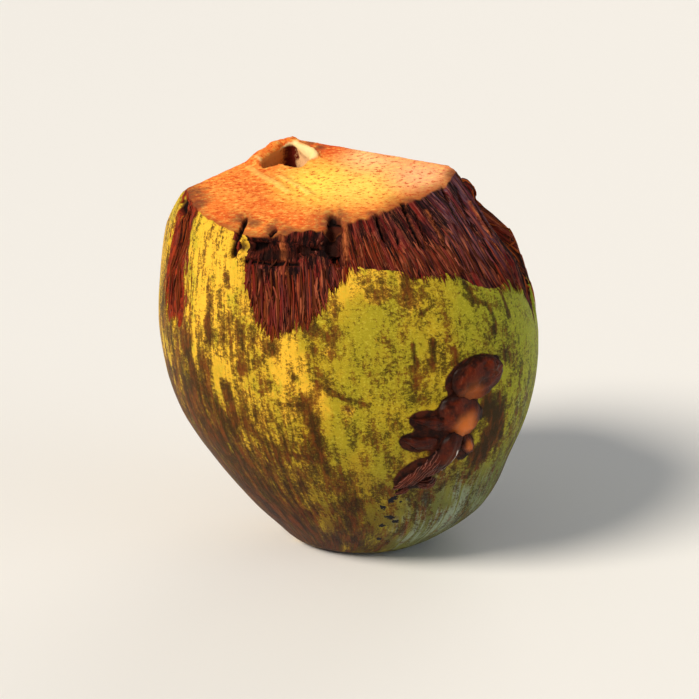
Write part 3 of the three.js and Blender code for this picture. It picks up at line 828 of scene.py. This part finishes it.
# Painted shade in the recesses of the fresh face
colour = blend(tree, times(tree, recess_shade, lid), colour, tone(70, 30, 16))
colour = blend(tree, lip, colour, lip_highlight_tone)
colour = blend(tree, in_well, colour, wall)
split_of = layer(tree, "split")
colour = blend(tree, fade(tree, split_of, 0.15, 0.5, 0.0, 0.85), colour, tone(70, 24, 14))
colour = blend(tree, fade(tree, split_of, 0.5, 0.85, 0.0, 0.95), colour, tone(10, 4, 4))
feed(tree, colour, shader.inputs["Base Color"])
bare = maths(tree, "MAXIMUM", band, lid)
feed(tree, fade(tree, bare, 0.0, 1.0, 0.5, 0.7), shader.inputs["Roughness"])
shader.inputs["Specular IOR Level"].default_value = 0.08
off_lid = times(tree, band, maths(tree, "SUBTRACT", 1.0, lid))
relief = times(tree, fibre_look["Height"], off_lid)
relief = maths(tree, "MULTIPLY_ADD", chunk, times(tree, dark_under_rim_of, 1.6), relief)
relief = maths(tree, "MULTIPLY_ADD", fresh_look["Height"], times(tree, lid, 0.4), relief)
rind_share = maths(tree, "MULTIPLY_ADD", bare, -0.35, 0.35)
relief = maths(tree, "MULTIPLY_ADD", rind_look["Height"], rind_share, relief)
emboss(tree, relief, 0.7, 0.0016)
skin.materials.clear()
skin.materials.append(coconut)
felt = BVHTree.FromPolygons([v.co for v in skin.vertices], [f.vertices for f in skin.polygons])
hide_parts("husk")
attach(fruit, "root")

# The loose fibres
# Threads of dry husk that the machete left on the shaved band, over the edge of the rind and in the
# torn side. Each is rooted in the husk at its upper end and lies down the fruit, on stops that are felt for
# from a little outside the grown curve.
STOPS, FEWEST_STOPS = 8, 4
FELT_FROM, FELT_REACH = 6, 0.045
chance = random.Random(5)
thread_spots, thread_faces, thread_around, thread_dry, thread_sky_reflection = [], [], [], [], []


def lay_thread(facing, top, length, width, lift, drift, curl, dry, sky_reflection):
    course = []
    own = chance.uniform(0, 2 * math.pi)
    bend = chance.uniform(-1, 1) * drift
    for k in range(STOPS):
        share = k / (STOPS - 1)
        level = top - length * share
        turned = facing + drift * share + bend * math.sin(math.pi * share)
        outer = skin_at(turned, level)
        inward = np.array([outline_at(level, 2) - outer[0], -outer[1], 0])
        inward /= np.linalg.norm(inward)
        found, out, _, _ = felt.ray_cast(
            Vector(in_metres(outer - inward * FELT_FROM)), Vector(inward), FELT_REACH
        )
        if found is None:
            break
        stand = lift * (0.3 + math.sin(math.pi * share)) + curl * share**3
        at = np.array(found) * MM - MIDDLE + np.array(out) * stand
        course.append((at, np.array(out), share))
    if len(course) < FEWEST_STOPS:
        return
    first = len(thread_spots)
    for k, (at, out, share) in enumerate(course):
        ahead = course[min(k + 1, len(course) - 1)][0] - course[max(k - 1, 0)][0]
        side = np.cross(out, ahead)
        side /= np.linalg.norm(side) + 1e-9
        to_tip = (k / (len(course) - 1)) ** 2.5
        half = width * min(1, 0.3 + 3 * share) * max(0.06, 1 - to_tip)
        thread_spots.extend([at + side * half, at - side * half, at + out * half * 0.6])
        thread_around.extend([(DRUM * math.cos(own), DRUM * math.sin(own), at[2] * 0.2)] * 3)
        thread_dry.extend([dry] * 3)
        thread_sky_reflection.extend([sky_reflection] * 3)
        if k:
            low = first + 3 * (k - 1)
            for a, b in ((0, 1), (1, 2), (2, 0)):
                thread_faces.append((low + a, low + b, low + 3 + b, low + 3 + a))
    last = first + 3 * (len(course) - 1)
    thread_faces.append((first + 2, first + 1, first))
    thread_faces.append((last, last + 1, last + 2))


def edge_at(facing):
    return float(np.interp(facing, BAND_EDGE[:, 0], BAND_EDGE[:, 1]))


def rim_at(facing):
    levels = np.arange(120.0, 172.0, 1.0)
    line = np.array([skin_at(facing, level) for level in levels])
    return float(levels[np.argmax(under_cuts(line, TOP_CUTS) < 6)])


# Over the whole band
BAND_THREADS = 400
for _ in range(BAND_THREADS):
    turned = chance.uniform(-122, -27.5)
    low, high = edge_at(turned), rim_at(turned)
    if high < low + 6:
        continue
    start = chance.uniform(low + 6, high)
    reach = min(chance.uniform(8, 30), start - low + 2)
    # Threads high on the front right of the band get more of the painted sky reflection
    sky_reflection_share = 0.8 if turned > -50 and start > 138 else 0.2
    lay_thread(
        turned, start, reach, chance.uniform(0.3, 0.95), chance.uniform(0.0, 0.25),
        chance.uniform(-1.6, 1.6), chance.uniform(0, 0.4), chance.uniform(0, 0.5) ** 1.5, sky_reflection_share,
    )

# A fringe over the edge of the rind, rusty at its left end
FRINGE_THREADS = 260
for _ in range(FRINGE_THREADS):
    turned = chance.uniform(-122, -34)
    above = chance.uniform(3, 9)
    rusty_end = chance.uniform(0.1, 0.7) if turned < -94 else chance.uniform(0, 0.3)
    lay_thread(
        turned, edge_at(turned) + above, above + chance.uniform(0.5, 3.5), chance.uniform(0.2, 0.5), 0.0,
        chance.uniform(-1, 1), 0.1, rusty_end, 0.0,
    )

# On the shaved strip at the left
STRIP_THREADS = 60
for _ in range(STRIP_THREADS):
    start = chance.uniform(122, 155)
    turned = -153 + chance.uniform(-1, 1) * float(np.interp(start, [116, 156], [5, 3]))
    lay_thread(
        turned, start, chance.uniform(8, 24), chance.uniform(0.2, 0.5), 0.15, chance.uniform(-1, 1),
        0.2, chance.uniform(0, 0.6), 0.0,
    )

# In the torn side
TORN_THREADS = 90
for _ in range(TORN_THREADS):
    turned, start = chance.uniform(-18, 16), chance.uniform(112, 160)
    lay_thread(
        turned, start, min(chance.uniform(8, 18), start - 104), chance.uniform(0.4, 1.1),
        chance.uniform(0.0, 0.3), chance.uniform(-4, 4), chance.uniform(0, 0.3),
        chance.uniform(0.2, 1.0), 0.1,
    )

# On the shaved husk behind, below the fresh face's rim
REAR_THREADS = 260
for _ in range(REAR_THREADS):
    turned = chance.uniform(25, 168)
    start = min(chance.uniform(128, 152), rim_at(turned) - 3)
    lay_thread(
        turned, start, chance.uniform(8, 22), chance.uniform(0.25, 0.6), chance.uniform(0, 0.4),
        chance.uniform(-1.5, 1.5), chance.uniform(0, 0.8), chance.uniform(0, 0.4), 0.2,
    )

coir = bpy.data.meshes.new("loose_fibres")
coir.from_pydata([tuple(in_metres(at)) for at in thread_spots], [], thread_faces)
store(coir, "around", np.array(thread_around))
store(coir, "dry", np.array(thread_dry))
store(coir, "sky_reflection", np.array(thread_sky_reflection))
loose_fibres = bpy.data.objects.new("loose_fibres", coir)
bpy.context.scene.collection.objects.link(loose_fibres)
bpy.ops.object.select_all(action="DESELECT")
loose_fibres.select_set(True)
bpy.context.view_layer.objects.active = loose_fibres
bpy.ops.object.mode_set(mode="EDIT")
bpy.ops.mesh.select_all(action="SELECT")
bpy.ops.mesh.normals_make_consistent(inside=False)
bpy.ops.object.mode_set(mode="OBJECT")
bpy.ops.object.shade_smooth()
coir_finish = bpy.data.materials.new("dry thread")
coir_finish.use_nodes = True
tree = coir_finish.node_tree
shader = tree.nodes["Principled BSDF"]
thread_look = placed(
    tree, fibres, Around=layer(tree, "around", True), Dry=layer(tree, "dry"), Grey=layer(tree, "sky_reflection")
)
feed(tree, thread_look["Colour"], shader.inputs["Base Color"])
feed(tree, fade(tree, layer(tree, "dry"), 0.0, 0.5, 0.5, 0.7), shader.inputs["Roughness"])
shader.inputs["Specular IOR Level"].default_value = 0.06
coir.materials.append(coir_finish)
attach(loose_fibres, "root")

# The scab
# A dried growth on the lower front: thick brown flakes that overlap like scales, amber where they are
# thin, with a painted highlight in each amber patch. They grew out of the rind and are still fast to it.
# Each flake: its turn and height, length, width and thickness, its tilt, how pointed and how bowed it is,
# and how strong its amber patch with painted highlight is, about a place on it that goes from -1 to 1 both
# ways. ROOTED is how deep each is sunk.
FLAKES = [
    (-53, 92, 25, 17.5, 3.9, 8, 0.0, 0.0, 0.5, (-0.35, -0.5)),
    (-49, 95, 13, 10, 4.3, -20, 0.1, 0.1, 0.25, (0.2, 0.0)),
    (-59, 77, 22, 18.5, 4.7, -38, 0.15, -0.1, 1.0, (0.25, -0.15)),
    (-55.5, 64, 13, 6, 3.2, -62, 0.2, 0.1, 0.8, (0.0, 0.0)),
    (-67, 76, 19.5, 9, 3.3, -12, 0.9, 0.12, 0.1, (0.3, 0.2)),
    (-71, 67.5, 17, 9, 3.2, -16, 0.9, 0.14, 0.15, (-0.3, 0.2)),
    (-62.5, 61.5, 22, 10, 4.3, 70, 0.25, 0.1, 0.3, (-0.1, -0.2)),
    (-66, 57, 17, 8.5, 3.8, 62, 0.3, -0.05, 0.0, (0.0, 0.0)),
    (-69.5, 53, 17, 6, 3.2, 60, 0.35, 0.05, 0.15, (0.0, 0.1)),
    (-72.5, 51, 16, 5, 2.8, 56, 0.35, 0.05, 0.2, (0.0, 0.1)),
    (-75.5, 49, 12, 4.2, 2.4, 52, 0.4, 0.05, 0.1, (0.0, 0.1)),
    (-67.5, 47, 8, 5.6, 3.0, 10, 0.1, 0.0, 0.0, (0.0, 0.0)),
    (-76, 43.5, 7, 3.4, 1.9, 40, 0.3, 0.0, 0.0, (0.0, 0.0)),
]
ROOTED = 0.5
bpy.ops.object.select_all(action="DESELECT")
flakes = []
for number, (turned, level, length, width, rise, tilt, point, bow, amber_and_highlight, highlight_place) in enumerate(FLAKES):
    bpy.ops.mesh.primitive_uv_sphere_add(segments=36, ring_count=20, radius=1, location=(0, 0, 0))
    flake = bpy.context.active_object
    ball = np.empty(len(flake.data.vertices) * 3)
    flake.data.vertices.foreach_get("co", ball)
    ball = ball.reshape(-1, 3)
    x, y, z = ball.T
    taper = 1 - point * ((1 - x) / 2) ** 1.6
    wavy = 0.1 * grain(ball, (0.5, 0.5, 0.5), turned) + 0.05 * grain(ball, (0.2, 0.2, 0.2), level)
    ribs = 0.05 * np.sin(11 * y + 5 * grain(ball, (0.9, 0.9, 0.9), level + turned))
    shape = np.stack([
        x * (1 + wavy), y * taper * (1 + 2 * wavy) + bow * (x * x - 0.35),
        z * (0.8 + 0.2 * taper) + (wavy * 1.5 + ribs) * (z > 0),
    ], axis=1) * [length / 2, width / 2, rise]
    base = skin_at(turned, level)
    out = np.array([base[0] - outline_at(level, 2), base[1] / FRONT_TO_BACK**2, 0])
    slope = (outline_at(level + 1, 1) - outline_at(level - 1, 1)) / 2
    out = out / np.linalg.norm(out) - np.array([0, 0, slope])
    out /= np.linalg.norm(out)
    flat_way = np.cross([0, 0, 1], out)
    flat_way /= np.linalg.norm(flat_way)
    steep = np.cross(out, flat_way)
    lie = math.radians(tilt)
    along = flat_way * math.cos(lie) + steep * math.sin(lie)
    side = np.cross(out, along)
    placed_at = base - out * ROOTED + shape @ np.stack([along, side, out])
    flake.data.vertices.foreach_set("co", in_metres(placed_at).ravel())
    near = np.hypot(x - highlight_place[0], (y - highlight_place[1]) * 0.8)
    store(flake.data, "amber_and_highlight", amber_and_highlight * smooth_step(0.85, 0.1, near) * (z > -0.2))
    store(flake.data, "thick", np.clip(z, 0, 1))
    store(flake.data, "own", np.stack([x, y, np.full(len(x), float(number))], axis=1))
    bpy.ops.object.shade_smooth()
    flakes.append(flake)
for flake in flakes:
    flake.select_set(True)
bpy.context.view_layer.objects.active = flakes[0]
bpy.ops.object.join()
scab_flakes = bpy.context.active_object
scab_flakes.name = "scab_flakes"
crust_finish = bpy.data.materials.new("dry scab")
crust_finish.use_nodes = True
tree = crust_finish.node_tree
shader = tree.nodes["Principled BSDF"]
in_mm = put(tree, "ShaderNodeMapping")
in_mm.inputs["Scale"].default_value = (MM, MM, MM)
feed(tree, put(tree, "ShaderNodeTexCoord").outputs["Object"], in_mm.inputs[0])
crust = pattern(tree, in_mm.outputs[0], (1, 1, 1), 0.2, 4, 0.6, 3.0)
fine = pattern(tree, in_mm.outputs[0], (1, 1, 0.4), 1.1, 4, 0.7, 9.0)
thick = layer(tree, "thick")
brown = blend(tree, fade(tree, crust, 0.36, 0.64), tone(42, 12, 3), tone(90, 28, 6))
brown = blend(tree, fade(tree, fine, 0.5, 0.72, 0.0, 0.3), brown, tone(140, 74, 40))
brown = blend(tree, fade(tree, thick, 0.75, 0.1, 0.0, 0.9), brown, tone(22, 9, 6))
# Amber patches: partly the flakes' amber colour, partly painted highlight
warm = sway(tree, crust, 0.3, layer(tree, "amber_and_highlight"))
brown = blend(tree, fade(tree, warm, 0.1, 1.1), brown, tone(206, 108, 42))

# The lower flakes are darker, the last ones are ribbed, and one carries a pale arc along its edge as a
# painted highlight
own = sides_of(tree, layer(tree, "own", True))
number_of = own["Z"]
DARKER_FROM, HIGHLIGHT_ARC_ON, RIBBED_FROM = 3.5, 6.0, 6.5
darker = fade(tree, number_of, DARKER_FROM - 0.1, DARKER_FROM + 0.1, 0.0, 0.4)
brown = blend(tree, darker, brown, tone(30, 13, 12))
ribbed = maths(tree, "SINE", maths(tree, "MULTIPLY_ADD", own["Y"], 24.0, times(tree, crust, 16.0)))
on_ribbed = fade(tree, number_of, RIBBED_FROM - 0.1, RIBBED_FROM + 0.1)
ribbed = times(tree, fade(tree, ribbed, 0.55, 0.95, 0.0, 0.5), on_ribbed)
brown = blend(tree, ribbed, brown, tone(150, 92, 78))
bow_of = maths(tree, "POWER", maths(tree, "ADD", own["X"], 0.1), 2.0)
bow_of = maths(tree, "MULTIPLY_ADD", bow_of, -0.7, 0.62)
bow_of = maths(tree, "ABSOLUTE", maths(tree, "ADD", own["Y"], bow_of))
arc = times(tree, fade(tree, bow_of, 0.1, 0.04), maths(tree, "COMPARE", number_of, HIGHLIGHT_ARC_ON, 0.1))
along_it = maths(tree, "ABSOLUTE", maths(tree, "ADD", own["X"], 0.2))
brown = blend(tree, times(tree, arc, fade(tree, along_it, 0.55, 0.4)), brown, tone(226, 216, 206))
feed(tree, brown, shader.inputs["Base Color"])
feed(tree, fade(tree, crust, 0.3, 0.7, 0.3, 0.5), shader.inputs["Roughness"])
emboss(tree, maths(tree, "MULTIPLY_ADD", fine, 0.5, crust), 0.4, 0.001)
shader.inputs["Specular IOR Level"].default_value = 0.12
scab_flakes.data.materials.clear()
scab_flakes.data.materials.append(crust_finish)
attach(scab_flakes, "root")

# The floor
# A plain pale sheet, wide enough to fill the view behind the fruit.
FLOOR_SIZE = 60
bpy.ops.object.select_all(action="DESELECT")
bpy.ops.mesh.primitive_plane_add(size=FLOOR_SIZE, location=(0, 0, 0))
floor = bpy.context.active_object
floor.name = "floor"
plain = bpy.data.materials.new("pale floor")
plain.use_nodes = True
shader = plain.node_tree.nodes["Principled BSDF"]
shader.inputs["Base Color"].default_value = (0.86, 0.86, 0.86, 1)
shader.inputs["Roughness"].default_value = 0.8
floor.data.materials.append(plain)
floor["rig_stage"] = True

# The light
# A warm soft lamp high at the left, a weak cool one at the right, and a dim pale room round them.
for name, towards, strength, spread, colour in (
    ("warm key", (-0.62, -0.44, 0.66), 3.5, 22, (1.0, 0.91, 0.78)),
    ("cool fill", (0.9, -0.36, 0.24), 0.6, 40, (0.86, 0.96, 1.0)),
    ("back light", (0.35, 0.85, 0.5), 0.5, 40, (1.0, 0.93, 0.84)),
):
    bpy.ops.object.light_add(type="SUN", location=tuple(2 * c for c in towards))
    lamp = bpy.context.active_object
    lamp.name = name
    lamp.rotation_mode = "QUATERNION"
    lamp.rotation_quaternion = Vector(towards).to_track_quat("Z", "Y")
    lamp.data.angle = math.radians(spread)
    lamp.data.energy = strength
    lamp.data.color = colour
room = bpy.data.worlds.new("pale room")
room.use_nodes = True
room.node_tree.nodes["Background"].inputs["Color"].default_value = (0.96, 0.98, 1.0, 1)
room.node_tree.nodes["Background"].inputs["Strength"].default_value = 0.24
bpy.context.scene.world = room
bpy.context.scene.view_settings.view_transform = "Standard"

# The camera
# An 85 mm lens at arm's length, looking 18 degrees down on the front.
AWAY = 0.70
LOOKS_DOWN = math.radians(18)
bpy.ops.object.camera_add()
camera = bpy.context.active_object
camera.data.lens = 85
camera.data.sensor_width = 36
aim = Vector((0.0004, -0.0018, 0.083))
back = Vector((0, -math.cos(LOOKS_DOWN), math.sin(LOOKS_DOWN)))
camera.location = aim + back * AWAY
camera.rotation_mode = "QUATERNION"
camera.rotation_quaternion = (-back).to_track_quat("-Z", "Y")
bpy.context.scene.camera = camera

low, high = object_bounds()
